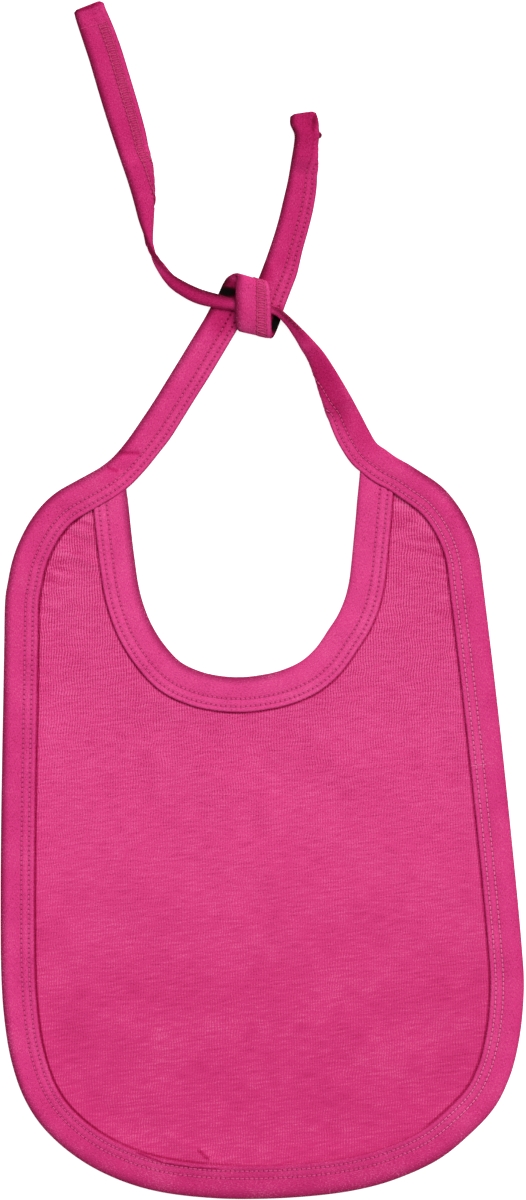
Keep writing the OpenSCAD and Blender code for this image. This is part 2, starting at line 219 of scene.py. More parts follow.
def lengths(points: np.ndarray) -> np.ndarray:
    """Distance along a path at each of its points."""
    gaps = np.linalg.norm(np.diff(points, axis=0), axis=1)
    return np.concatenate([[0.0], np.cumsum(gaps)])


def evened(rows: np.ndarray, along: np.ndarray, count: int) -> np.ndarray:
    """Rows taken again at even steps.

    Args:
        rows: one row for each point of the path.
        along: the distance along the path at each row.
        count: how many rows come back.

    Returns:
        The rows at even distances.
    """
    at = np.linspace(along[0], along[-1], count)
    return at_places(at, along, rows)


def at_places(v: np.ndarray, along: np.ndarray, rows: np.ndarray) -> np.ndarray:
    """Rows read between their places along a path."""
    return np.column_stack([np.interp(v, along, column) for column in rows.T])


def between(one: np.ndarray, other: np.ndarray, share: float) -> np.ndarray:
    """Places a share of the way from one to another."""
    return one * (1 - share) + other * share


def soft(low: float, high: float, x: np.ndarray) -> np.ndarray:
    """Smooth step from 0 at low to 1 at high."""
    t = np.clip((np.asarray(x, float) - low) / (high - low), 0, 1)
    return t * t * (3 - 2 * t)


def bump(x: np.ndarray, middle: float, width: float) -> np.ndarray:
    """Bell of height 1 round a middle."""
    return np.exp(-(((x - middle) / width) ** 2))


def gap_to(path: np.ndarray, places: np.ndarray) -> np.ndarray:
    """Distance from each place of a grid to the nearest point of a path.

    Args:
        path: rows of x and y.
        places: rows x columns x 2.

    Returns:
        Rows x columns of distances.
    """
    return np.array([
        np.linalg.norm(row[:, None] - path[None], axis=-1).min(axis=1) for row in places
    ])


@dataclass(frozen=True)
class Field:
    """Smooth uneven surface, made of a few sine waves in many directions."""

    wavelength: float
    seed: int
    waves: int = 9

    def at(self, x: np.ndarray, y: np.ndarray) -> np.ndarray:
        """Height from about -1 to 1 at places in millimetres."""
        rng = np.random.default_rng(self.seed)
        total = np.zeros(np.broadcast(x, y).shape)
        for _ in range(self.waves):
            turn, phase = rng.uniform(0, 2 * math.pi, 2)
            size = self.wavelength * rng.uniform(0.6, 1.7)
            k = 2 * math.pi / size
            total += np.sin(k * (x * math.cos(turn) + y * math.sin(turn)) + phase)
        return total / math.sqrt(self.waves)


@dataclass(frozen=True)
class Crease:
    """Line in the cloth: a ridge where its height is over zero, and a valley where it is below."""

    start: tuple[float, float]
    end: tuple[float, float]
    width: float
    height: float

    def at(self, x: np.ndarray, y: np.ndarray) -> np.ndarray:
        """Height of the crease at places in millimetres."""
        (ax, ay), (bx, by) = self.start, self.end
        long = math.hypot(bx - ax, by - ay)
        ux, uy = (bx - ax) / long, (by - ay) / long
        along = (x - ax) * ux + (y - ay) * uy
        across = (y - ay) * ux - (x - ax) * uy
        ends = soft(-0.25 * long, 0.2 * long, along) * (1 - soft(0.8 * long, 1.25 * long, along))
        return self.height * ends * np.exp(-((across / self.width) ** 2))


@dataclass(frozen=True)
class Shade:
    """Oval patch of painted shade, where the cloth turns from the light or lies deep in the knot.

    Attributes:
        x, y: the patch's middle.
        long, wide: half of its length and of its width.
        turn: direction of its length, in degrees.
        depth: how dark it is, from 0 to 1.
        top: height over which the cloth stays light.
    """

    x: float
    y: float
    long: float
    wide: float
    turn: float
    depth: float
    top: float = 99.0

    def at(self, places: np.ndarray) -> np.ndarray:
        """Depth of shade at places in millimetres."""
        c, s = math.cos(math.radians(self.turn)), math.sin(math.radians(self.turn))
        dx, dy = places[:, 0] - self.x, places[:, 1] - self.y
        far = ((dx * c + dy * s) / self.long) ** 2 + ((dy * c - dx * s) / self.wide) ** 2
        below = 1 - soft(self.top - 0.7, self.top + 0.5, places[:, 2])
        return self.depth * np.exp(-far * far) * below


# Painted shade: the knot's openings and the cloth round them, the straps and ties where they turn
# from the light, dark lines along some tape edges, the slot of the short tie's hem and a little of
# the left shoulder.
SHADES = (
    Shade(-14.8, 132.3, 5.8, 3.3, -4, 1.0, 4.1),
    Shade(-15.0, 134.2, 6.8, 4.6, 20, 0.62, 4.5),
    Shade(-24.0, 133.0, 8.5, 0.85, -22, 0.75),
    Shade(5.6, 119.0, 6.6, 2.9, 76, 1.0, 3.4),
    Shade(28.6, 91.0, 20, 5.6, 118, 0.36),
    Shade(41, 75, 12, 5.0, 115, 0.12),
    Shade(12.5, 118, 11, 3.6, 130, 0.3),
    Shade(-30, 131, 20, 7, -22, 0.38),
    Shade(-14.5, 121.5, 9, 7, 60, 0.3, 3.0),
    Shade(-50, 158, 24, 11, 100, 0.2),
    Shade(-64, 205, 62, 22, 107, 0.16),
    Shade(-74.8, 254.9, 7.5, 1.2, 22, 0.6),
    Shade(14, 172, 50, 17, 78, 0.15, 3.9),
    Shade(18, 207, 25, 14, 88, 0.34),
    Shade(17.6, 209.3, 6.5, 1.0, 8, 0.55),
    Shade(22.2, 205.2, 5.2, 1.5, 87, 0.72),
    Shade(-1, 141, 6, 7, 70, 0.3, 3.0),
    Shade(-68, 60, 16, 9, 35, 0.05),
)


# ---------------------------------------------------------------- meshes


def unit(v: np.ndarray) -> np.ndarray:
    """Vectors of length 1."""
    return v / np.maximum(np.linalg.norm(v, axis=-1, keepdims=True), 1e-9)


def finish_mesh(name: str, bm: bmesh.types.BMesh, material: bpy.types.Material,
                shades: Sequence[Shade] = ()) -> bpy.types.Object:
    """Object made from a bmesh, in the scene, with smooth shading.

    Args:
        name: the piece's name.
        bm: the mesh, in metres in the row frame. It is freed.
        material: the piece's finish.
        shades: patches of painted shade, which the mesh carries as an attribute.

    Returns:
        The new object.
    """
    mesh = bpy.data.meshes.new(name)
    bm.to_mesh(mesh)
    bm.free()
    mesh.shade_smooth()
    if shades:
        places = np.empty(len(mesh.vertices) * 3)
        mesh.vertices.foreach_get("co", places)
        places = places.reshape(-1, 3) / MM
        depth = np.max([s.at(places) for s in shades], axis=0)
        mesh.attributes.new("hollow", "FLOAT", "POINT").data.foreach_set("value", depth)
    mesh.materials.append(material)
    obj = bpy.data.objects.new(name, mesh)
    bpy.context.scene.collection.objects.link(obj)
    return obj


def add_grid(bm: bmesh.types.BMesh, places: np.ndarray, uv: np.ndarray) -> list:
    """Grid of faces whose corners are moved to their places.

    Args:
        bm: the mesh that takes the grid.
        places: rows x columns x 3, in millimetres.
        uv: rows x columns x 2, in millimetres.

    Returns:
        The grid's rows of vertices.
    """
    rows, columns = places.shape[:2]
    layer = bm.loops.layers.uv.verify()
    made = bmesh.ops.create_grid(bm, x_segments=columns - 1, y_segments=rows - 1, size=1)["verts"]
    table = [[None] * columns for _ in range(rows)]
    spot = {}
    for v in made:
        column = round((v.co.x + 1) / 2 * (columns - 1))
        row = round((v.co.y + 1) / 2 * (rows - 1))
        table[row][column] = v
        spot[v] = (row, column)
    for face in {f for v in made for f in v.link_faces}:
        for loop in face.loops:
            loop[layer].uv = uv[spot[loop.vert]]
    for v, at in spot.items():
        v.co = places[at] * MM
    return table


def closed_tube(bm: bmesh.types.BMesh, places: np.ndarray, uv: np.ndarray) -> None:
    """Tube of rings, closed round and at both ends.

    Args:
        bm: the mesh that takes the tube.
        places: rings x points x 3, in millimetres, without the first point again at the end.
        uv: rings x points x 2, in millimetres.
    """
    ring = np.concatenate([places, places[:, :1]], axis=1)
    rim = np.concatenate([uv, uv[:, :1]], axis=1)
    table = add_grid(bm, ring, rim)
    seam = [row[k] for row in table for k in (0, -1)]
    bmesh.ops.remove_doubles(bm, verts=seam, dist=1e-7)
    open_edges = [e for e in bm.edges if e.is_boundary]
    bmesh.ops.holes_fill(bm, edges=open_edges, sides=0)
    bmesh.ops.recalc_face_normals(bm, faces=bm.faces)


# ---------------------------------------------------------------- the folded tape


@dataclass(frozen=True)
class Section:
    """Cross-section of the folded tape, from its folded edge to its free edges."""

    fold: float = 1.3
    cloth: float = CLOTH_T
    fronts: tuple[float, ...] = (
        1.9, 2.8, 3.9, 5.1, 6.3, 7.3, 8.0, 8.45, 8.8, 9.15, 9.5, 9.95, 10.6, 11.2, 11.65,
        12.0, 12.35, 12.7, 13.15, 13.7, 14.15,
    )
    backs: tuple[float, ...] = (14.1, 13.0, 12.2, 11.2, 10.2, 9.0, 7.4, 5.4, 3.4, 1.9)
    insides: tuple[float, ...] = (13.6, 8.0, 2.4)

    def points(self) -> np.ndarray:
        """The closed outline.

        Returns:
            Rows of lateral place, share of the half thickness, height of the inner side in mm,
            and how much of the relief the point takes, which is below zero on the back.
        """
        turns = np.radians([-72, -36, 0, 36, 72])
        arc = [(self.fold * (1 - math.cos(a)), math.sin(a), 0, 0.4 * math.sin(a)) for a in turns]
        lip = ((14.45, 0.15), (14.6, 0.4), (14.45, 0.65))
        front = [(u, 1, 0, 1) for u in self.fronts]
        front_lip = [(u, 1, -d, 0.6) for u, d in lip]
        front_inside = [(u, 1, -self.cloth, 0) for u in self.insides]
        back_inside = [(u, -1, self.cloth, 0) for u in reversed(self.insides)]
        back_lip = [(u, -1, d, 0) for u, d in reversed(lip)]
        back = [(u, -1, 0, -1) for u in self.backs]
        return np.array(arc + front + front_lip + front_inside + back_inside + back_lip + back)


@dataclass
class Tape:
    """A run of folded tape between its folded edge and its free edge.

    Attributes:
        name: the piece's name.
        rows: stations along the run, with columns as in the strap lists.
        width: flat width of the folded tape.
        face: 1 where the front faces up when the free edge is on the left of the run, else -1.
        step: distance between stations.
        seed: picks the tape's small unevenness.
        turn: radius of the turn where the tape is folded under lengthwise.
        least: narrowest width that a lengthwise fold gives.
        creases: lines across the tape, at places of the bib.
        shades: patches of painted shade; one whose depth is below zero paints light.
        nub: place and radius of a rolled corner of cloth.
        corner: radius of the two corners at the run's end.
    """

    name: str
    rows: np.ndarray
    width: float = TAPE_W
    face: int = 1
    step: float = 0.8
    seed: int = 1
    turn: float = 1.0
    least: float = 7.9
    creases: tuple[Crease, ...] = ()
    shades: tuple[Shade, ...] = SHADES
    nub: tuple[float, ...] = ()
    corner: float = 0.0

    def __post_init__(self) -> None:
        """Works out the run's directions at even steps."""
        middle = (self.rows[:, 0:3] + self.rows[:, 3:6]) / 2
        far = np.maximum(
            np.linalg.norm(np.diff(self.rows[:, 0:3], axis=0), axis=1),
            np.linalg.norm(np.diff(self.rows[:, 3:6], axis=0), axis=1),
        )
        steps = (np.linalg.norm(np.diff(middle, axis=0), axis=1) + far) / 2
        along = np.concatenate([[0.0], np.cumsum(steps)])
        self.count = max(8, round(along[-1] / self.step))
        even = evened(self.rows, along, self.count)
        self.length = along[-1]
        self.v = np.linspace(0, self.length, self.count)
        self.fold, self.free, self.half = even[:, 0:3], even[:, 3:6], even[:, 6]
        run = unit(np.gradient((self.fold + self.free) / 2, axis=0))
        self.side = unit(self.free - self.fold)
        self.normal = unit(np.cross(run, self.side)) * self.face
        u = np.linspace(0, self.width, 40)
        sides = [
            self.placed(u[None], np.outer(self.half * s, np.ones(40)), self.fold[:, None],
                        self.free[:, None], self.normal[:, None])[..., 2].min(axis=1)
            for s in (-1, 1)
        ]
        sunk = np.maximum(0, FLOOR_GAP - np.minimum(*sides))
        kernel = np.hanning(15) / np.hanning(15).sum()
        raised = np.convolve(np.pad(sunk, 7, mode="edge"), kernel, mode="valid")
        self.fold[:, 2] += raised
        self.free[:, 2] += raised

    def relief(self, u: np.ndarray, v: np.ndarray) -> np.ndarray:
        """Height of the cloth over a flat tape: puffs, stitch grooves and small puckers.

        Args:
            u: lateral distance from the folded edge.
            v: distance along the tape.

        Returns:
            Height in millimetres.
        """
        outer, inner = OUTER_ROW, INNER_ROW
        hole = 0.5 + 0.5 * np.cos(2 * math.pi * v / STITCH)
        grooves = bump(u, outer, 0.5) + bump(u, inner, 0.5)
        puffs = 0.16 * np.sin(math.pi * np.clip(u / outer, 0, 1)) + 0.1 * bump(u, 10.6, 0.9)
        roll = 0.14 * bump(u, 13.5, 0.8)
        pucker = Field(4.6, self.seed).at(v, u * 0.5) * 0.07 * bump(u, 10.6, 4.0)
        waves = Field(17.0, self.seed + 1).at(v, u * 1.4) * 0.12 * soft(0, 3, u)
        return puffs + roll + pucker + waves - grooves * (0.08 + 0.11 * hole)

    def placed(self, u: np.ndarray, height: np.ndarray, fold: np.ndarray, free: np.ndarray,
               normal: np.ndarray) -> np.ndarray:
        """Places on the cross-section, which is folded under lengthwise where the tape is narrow.

        Args:
            u: lateral distance from the folded edge.
            height: height over the middle of the tape.
            fold: the folded edge at each station.
            free: the free edge at each station.
            normal: the front's direction at each station.

        Returns:
            Places in millimetres.
        """
        across = free - fold
        plan = np.linalg.norm(across, axis=-1, keepdims=True)
        side = across / np.maximum(plan, 1e-6)
        u, height = u[..., None], height[..., None]
        r, width = self.turn, self.width
        drawn = np.clip(plan, self.least, width)
        wide = soft(0.85 * width, 0.99 * width, drawn)
        under = (width - drawn + r + CLOTH_T) * (1 - wide)
        last = width - under
        reach = last + (r + CLOTH_T) * np.sin(np.minimum(under / r, math.pi / 2))
        bend = np.clip((u - last) / r, 0, math.pi)
        x = np.minimum(u, last) + r * np.sin(bend) - np.maximum(0, u - last - math.pi * r)
        up = normal[..., 2:]
        turn = bend * up
        rise = height * np.cos(turn) - up * r * (1 - np.cos(bend))
        out = (x + height * np.sin(turn)) * plan / reach
        return fold + side * out + normal * rise

    def surface(self, u: float, v: np.ndarray, lift: float, back: bool = False) -> np.ndarray:
        """Places on the tape's surface.

        Args:
            u: lateral distance from the folded edge.
            v: distances along the tape.
            lift: height over the surface.
            back: True for the underside.

        Returns:
            One place for each distance.
        """
        fold, free, normal = (at_places(v, self.v, c) for c in (self.fold, self.free, self.normal))
        half = np.interp(v, self.v, self.half)
        height = half + self.relief(u, v) * (0.35 if back else 1) + lift
        across = np.full(len(v), u * self.width / TAPE_W)
        return self.placed(across, height * (-1 if back else 1), fold, free, unit(normal))

    def build(self, material: bpy.types.Material) -> bpy.types.Object:
        """The tape's mesh.

        Args:
            material: the jersey tape's finish.

        Returns:
            The new object.
        """
        outline = Section().points()
        u = outline[:, 0] * self.width / TAPE_W
        top, inside, weight = outline[:, 1], outline[:, 2], outline[:, 3]
        lateral, along = np.meshgrid(outline[:, 0], self.v)
        bend = np.where(weight > 0, weight, weight * 0.35)
        across = (self.free - self.fold)[:, None] * (outline[:, 0] / TAPE_W)[None, :, None]
        flat = self.fold[:, None] + across
        lines = sum((c.at(flat[..., 0], flat[..., 1]) for c in self.creases), np.zeros(along.shape))
        height = self.half[:, None] * top + inside + (self.relief(lateral, along) + lines) * bend
        places = self.placed(
            np.broadcast_to(u, height.shape), height, self.fold[:, None], self.free[:, None],
            self.normal[:, None],
        )
        side, middle = self.side[:, None], (self.fold + self.free)[:, None] / 2
        off = np.sum((places - middle) * side, axis=-1) * self.rounding()[:, None]
        places -= side * off[..., None]
        signed = np.where(top < 0, -outline[:, 0], outline[:, 0])
        uv = np.stack([np.broadcast_to(signed, along.shape), along], axis=-1)
        bm = bmesh.new()
        closed_tube(bm, places, uv)
        if self.nub:
            *place, radius = (n * MM for n in self.nub)
            bmesh.ops.create_icosphere(
                bm, subdivisions=2, radius=radius, matrix=Matrix.Translation(place)
            )
        LOG.info("%s: %d stations, %.0f mm", self.name, self.count, self.length)
        return finish_mesh(self.name, bm, material, self.shades)

    def rounding(self) -> np.ndarray:
        """Share of the width that the rounded end corners take away, at each station."""
        cut = np.clip(self.corner - (self.length - self.v), 0, self.corner)
        inset = self.corner - np.sqrt(self.corner**2 - cut**2)
        return 2 * inset / np.linalg.norm(self.free - self.fold, axis=1)

    def first_past(self, y: float) -> float:
        """Distance along the tape of the first station beyond a place on Y."""
        return float(self.v[np.argmax(self.fold[:, 1] > y)])


def rails(middle: np.ndarray, width: float, half: float) -> np.ndarray:
    """Stations of a tape along a flat path, with the folded edge on the path's right.

    Args:
        middle: the path of the tape's middle, as rows of x and y.
        width: the folded tape's width.
        half: half of its thickness.

    Returns:
        Rows with the columns of the strap lists.
    """
    run = unit(np.gradient(middle, axis=0))
    right = np.column_stack([run[:, 1], -run[:, 0]]) * width / 2
    level = np.full(len(middle), half)
    return np.column_stack([middle + right, level, middle - right, level, level])


# ---------------------------------------------------------------- materials


def linear(colour: str) -> tuple[float, float, float, float]:
    """A #rrggbb colour as linear RGBA."""
    shares = (int(colour[k : k + 2], 16) / 255 for k in (1, 3, 5))
    made = [c / 12.92 if c <= 0.04045 else ((c + 0.055) / 1.055) ** 2.4 for c in shares]
    return (*made, 1.0)


class Finish:
    """A material's node tree, with short ways to add to it."""

    def __init__(self, name: str, roughness: float) -> None:
        """Starts a material from one cloth shader."""
        self.material = bpy.data.materials.new(name)
        self.material.use_nodes = True
        self.tree = self.material.node_tree
        self.shader = self.tree.nodes["Principled BSDF"]
        self.shader.inputs["Roughness"].default_value = roughness
        self.shader.inputs["Specular IOR Level"].default_value = 0.15

    def add(self, kind: str, inputs: dict | None = None, **settings) -> bpy.types.Node:
        """Adds a node.

        Args:
            kind: the node's type, without its ShaderNode prefix.
            inputs: values and sockets by the input's name or number.
            **settings: the node's own settings.

        Returns:
            The new node.
        """
        made = self.tree.nodes.new("ShaderNode" + kind)
        for key, value in settings.items():
            setattr(made, key, value)
        for key, value in (inputs or {}).items():
            if isinstance(value, Socket):
                self.tree.links.new(value, made.inputs[key])
            else:
                made.inputs[key].default_value = value
        return made

    def math(self, operation: str, *values: Value) -> Socket:
        """Result of one sum on values or sockets."""
        return self.add("Math", dict(enumerate(values)), operation=operation).outputs[0]

    def times(self, *values: Value) -> Socket:
        """Product of two values or more."""
        made, *others = values
        for value in others:
            made = self.math("MULTIPLY", made, value)
        return made

    def mottled(self, colour: Socket, parts: Sequence[tuple], reach: float,
                dark: str, light: str, most: float) -> Socket:
        """Colour made darker and lighter by a sum of fine patterns.

        Args:
            colour: the even colour.
            parts: each pattern's value, the value that it rests at, and its share.
            reach: the sum at which the colour is darkest or lightest.
            dark: the darkest colour.
            light: the lightest colour.
            most: share of the light colour at its strongest.

        Returns:
            The uneven colour.
        """
        total = 0.0
        for value, rest, share in parts:
            off = self.math("SUBTRACT", value, rest)
            total = self.math("ADD", total, self.times(off, share))
        darker = self.mix(self.span(total, -reach, 0.0, 0.85, 0.0), colour, dark)
        return self.mix(self.span(total, 0.0, reach, 0.0, most), darker, light)

    def span(self, value: Socket, *ends: float) -> Socket:
        """Value moved smoothly from one span to another.

        Args:
            value: the socket to read.
            *ends: from min, from max, to min and to max.

        Returns:
            The new value.
        """
        names = ("From Min", "From Max", "To Min", "To Max")
        inputs = {"Value": value, **dict(zip(names, ends))}
        return self.add("MapRange", inputs, interpolation_type="SMOOTHSTEP").outputs["Result"]

    def mix(self, factor: Value, one: Colour, two: Colour) -> Socket:
        """Colour between two others, given as hex texts or sockets."""
        colours = [linear(c) if isinstance(c, str) else c for c in (one, two)]
        inputs = {0: factor, 6: colours[0], 7: colours[1]}
        return self.add("Mix", inputs, data_type="RGBA").outputs[2]

    def ramp(self, value: Socket, stops: Sequence[tuple[float, str]]) -> Socket:
        """Colour read off a row of stops, each a place from 0 to 1 and a hex text."""
        made = self.add("ValToRGB", {0: value})
        marks = made.color_ramp.elements
        while len(marks) < len(stops):
            marks.new(0.5)
        for mark, (place, _) in zip(marks, stops):
            mark.position = place
        for mark, (_, colour) in zip(marks, stops):
            mark.color = linear(colour)
        return made.outputs["Color"]

    def noise(self, vector: Socket, scale: float, detail: float = 2.0) -> Socket:
        """Even noise from 0 to 1 round a place."""
        inputs = {"Vector": vector, "Scale": scale, "Detail": detail}
        return self.add("TexNoise", inputs).outputs[0]

    def stretched(self, source: Socket, scale: tuple, turn: float = 0.0) -> Socket:
        """A place scaled by axis, and turned about Z by a number of degrees first."""
        turned = self.add(
            "VectorRotate", {"Vector": source, "Angle": math.radians(turn)},
            rotation_type="Z_AXIS",
        ).outputs[0]
        inputs = {0: turned, 1: scale}
        return self.add("VectorMath", inputs, operation="MULTIPLY").outputs[0]

    def attribute(self, name: str) -> Socket:
        """Number that the mesh carries under a name."""
        return self.add("Attribute", attribute_name=name).outputs["Fac"]

    def near(self, value: Socket, middle: float, inside: float,
             outside: float) -> Socket:
        """1 where a value is within one distance of a middle, and 0 outside another."""
        off = self.math("ABSOLUTE", self.math("SUBTRACT", value, middle))
        return self.span(off, inside, outside, 1.0, 0.0)

    def line(self, place: Socket, crease: Crease) -> Socket:
        """Strength of a crease's painted shade, drawn in the colour.

        Args:
            place: the place on the object, in metres.
            crease: the line, whose height is its strength.

        Returns:
            A value from 0 to the crease's strength.
        """
        (ax, ay), (bx, by) = crease.start, crease.end
        long = math.hypot(bx - ax, by - ay)
        ux, uy = (bx - ax) / long, (by - ay) / long
        middle = ((ax + bx) / 2 * MM, (ay + by) / 2 * MM, 0)
        off = self.add("VectorMath", {0: place, 1: middle}, operation="SUBTRACT").outputs[0]
        along, across = (
            self.math("ABSOLUTE", self.add(
                "VectorMath", {0: off, 1: way}, operation="DOT_PRODUCT").outputs["Value"])
            for way in ((ux, uy, 0), (-uy, ux, 0))
        )
        ends = self.span(along, long * 0.35 * MM, long * 0.55 * MM, crease.height, 0.0)
        body = self.span(across, 0.0, crease.width * MM, 1.0, 0.0)
        return self.math("MULTIPLY", ends, body)

    def shaded(self, colour: Socket, *depths: Socket
               ) -> Socket:
        """Colour made deeper, redder and at last black with the depth of painted shade.

        Args:
            colour: the colour in full light.
            *depths: depths of painted shade from 0 to 1; the greatest is added to the mesh's own.

        Returns:
            The colour with its painted shade.
        """
        drawn = 0.0
        for depth in depths:
            drawn = self.math("MAXIMUM", drawn, depth)
        depth = self.math("ADD", self.attribute("hollow"), drawn)
        gamma = self.math("ADD", 1.0, self.math("MULTIPLY", depth, 1.25))
        deep = self.add("Gamma", {"Color": colour, "Gamma": gamma}).outputs[0]
        red = self.math("SUBTRACT", 1.0, self.math("MULTIPLY", depth, 0.55))
        cool = self.add("CombineXYZ", {0: red, 1: 1.0, 2: 1.0}).outputs[0]
        tinted = self.add("VectorMath", {0: deep, 1: cool}, operation="MULTIPLY").outputs[0]
        left = self.span(depth, 0.6, 1.0, 1.0, 0.01)
        return self.add("VectorMath", {0: tinted, 3: left}, operation="SCALE").outputs[0]

    def done(self, colour: Socket, height: Socket | None = None,
             depth: float = 0.0) -> bpy.types.Material:
        """Links the colour and the fine height to the shader.

        Args:
            colour: the base colour.
            height: fine height from 0 to 1.
            depth: what 1 of height stands for, in metres.

        Returns:
            The material.
        """
        self.tree.links.new(colour, self.shader.inputs["Base Color"])
        if height is not None:
            made = self.add("Bump", {"Height": height, "Distance": depth, "Strength": 1.0})
            self.tree.links.new(made.outputs[0], self.shader.inputs["Normal"])
        return self.material


@dataclass(frozen=True)
class PanelJersey:
    """Cotton single jersey of the two panels, dyed magenta, a little uneven in tone."""

    name: str = "cotton single jersey, magenta"
    roughness: float = 0.95
    # Tones from the bottom edge up to the shoulders; the darker bottom is painted shade, as the
    # light falls from the neck end.
    tones: tuple[tuple[float, str], ...] = (
        (0, "#d23175"), (0.2, "#d63679"), (0.5, "#df4084"), (0.8, "#df4184"), (1, "#dd3f82"),
    )
    dark: str = "#aa1a54"
    light: str = "#f274aa"
    relief: float = 0.0001
    # Painted shade along a crease near the bottom left.
    wrinkle: Crease = Crease((-28.0, -236.0), (-22.6, -241.2), 1.4, 0.3)

    def material(self) -> bpy.types.Material:
        """The jersey's node tree: tone with painted shade towards the bottom, slub, wales, and
        painted light and shade in the shoulder ripples, a crease and the grooves beside the tapes.
        """
        f = Finish(self.name, self.roughness)
        place = f.add("TexCoord").outputs["Object"]
        at = f.add("SeparateXYZ", {0: place}).outputs
        x, y = at["X"], at["Y"]
        # Painted shade: the cloth darkens towards the bottom edge.
        tone = f.ramp(f.span(y, -0.26, 0.05, 0.0, 1.0), self.tones)
        # Uneven dye over a few centimetres, then slubs 3 to 15 mm long that rise to the right
        patch = f.noise(f.stretched(place, (30, 45, 30)), 1.0, 3.0)
        slub = f.noise(f.stretched(place, (130, 1050, 1), -6.5), 1.0, 2.0)
        # Wales 1.1 mm apart, drawn at twice their real pitch so that they still show
        wander = f.noise(f.stretched(place, (60, 110, 1)), 1.0, 1.0)
        phase = f.math("ADD", f.times(x, 2 * math.pi / WALE), f.times(wander, 15.0))
        broken = f.noise(f.stretched(place, (500, 480, 1)), 1.0)
        wale = f.times(f.math("SINE", phase), broken)
        grain = f.noise(f.stretched(place, (1, 0.7, 0)), 2300.0, 0.0)
        # The seams at the shoulders gather the cloth into short ripples, whose light and shade are
        # painted into the colour as well as bumped
        ripple = f.noise(f.stretched(place, (70, 330, 1), 12), 1.0, 1.0)
        hem, neckline = f.attribute("hem"), f.attribute("neckline")
        shoulder = f.span(y, -0.02, 0.02, 0.0, 1.0)
        gathered = f.times(f.span(hem, 30.0, 15.0, 0.0, 1.0), shoulder)
        colour = f.mottled(tone, (
            (patch, 0.5, f.span(y, -0.2, -0.1, 0.45, 0.25)),
            (slub, 0.5, 0.64),
            (wale, 0.0, f.span(y, -0.12, 0.03, 0.23, 0.64)),
            (grain, 0.5, f.times(f.span(y, -0.25, 0.03, 0.8, 1.5), 0.64)),
            (ripple, 0.5, f.times(gathered, 1.35)),
        ), 0.45, self.dark, self.light, 0.7)
        # Painted shade in the groove where the panel goes under the tape, less on the right and
        # where the groove opens out along the bottom edge; a line of painted shade beside the neck
        # tape
        bottom = f.span(y, -0.222, -0.236, 0.0, 1.0)
        low = f.times(bottom, f.span(x, -0.03, 0.01, 0.35, 0.85))
        lit = f.span(x, 0.02, 0.06, 0.0, 0.3)
        deep = f.math("SUBTRACT", f.math("SUBTRACT", 0.64, low), lit)
        groove_shade = f.times(f.near(hem, 12.35, 0.15, 0.8), deep)
        inner = f.times(f.near(neckline, 12.8, 0.1, 0.65), 0.44)
        shade = f.shaded(colour, groove_shade, inner, f.line(place, self.wrinkle))
        return f.done(shade, f.math("ADD", slub, f.times(ripple, gathered)), self.relief)


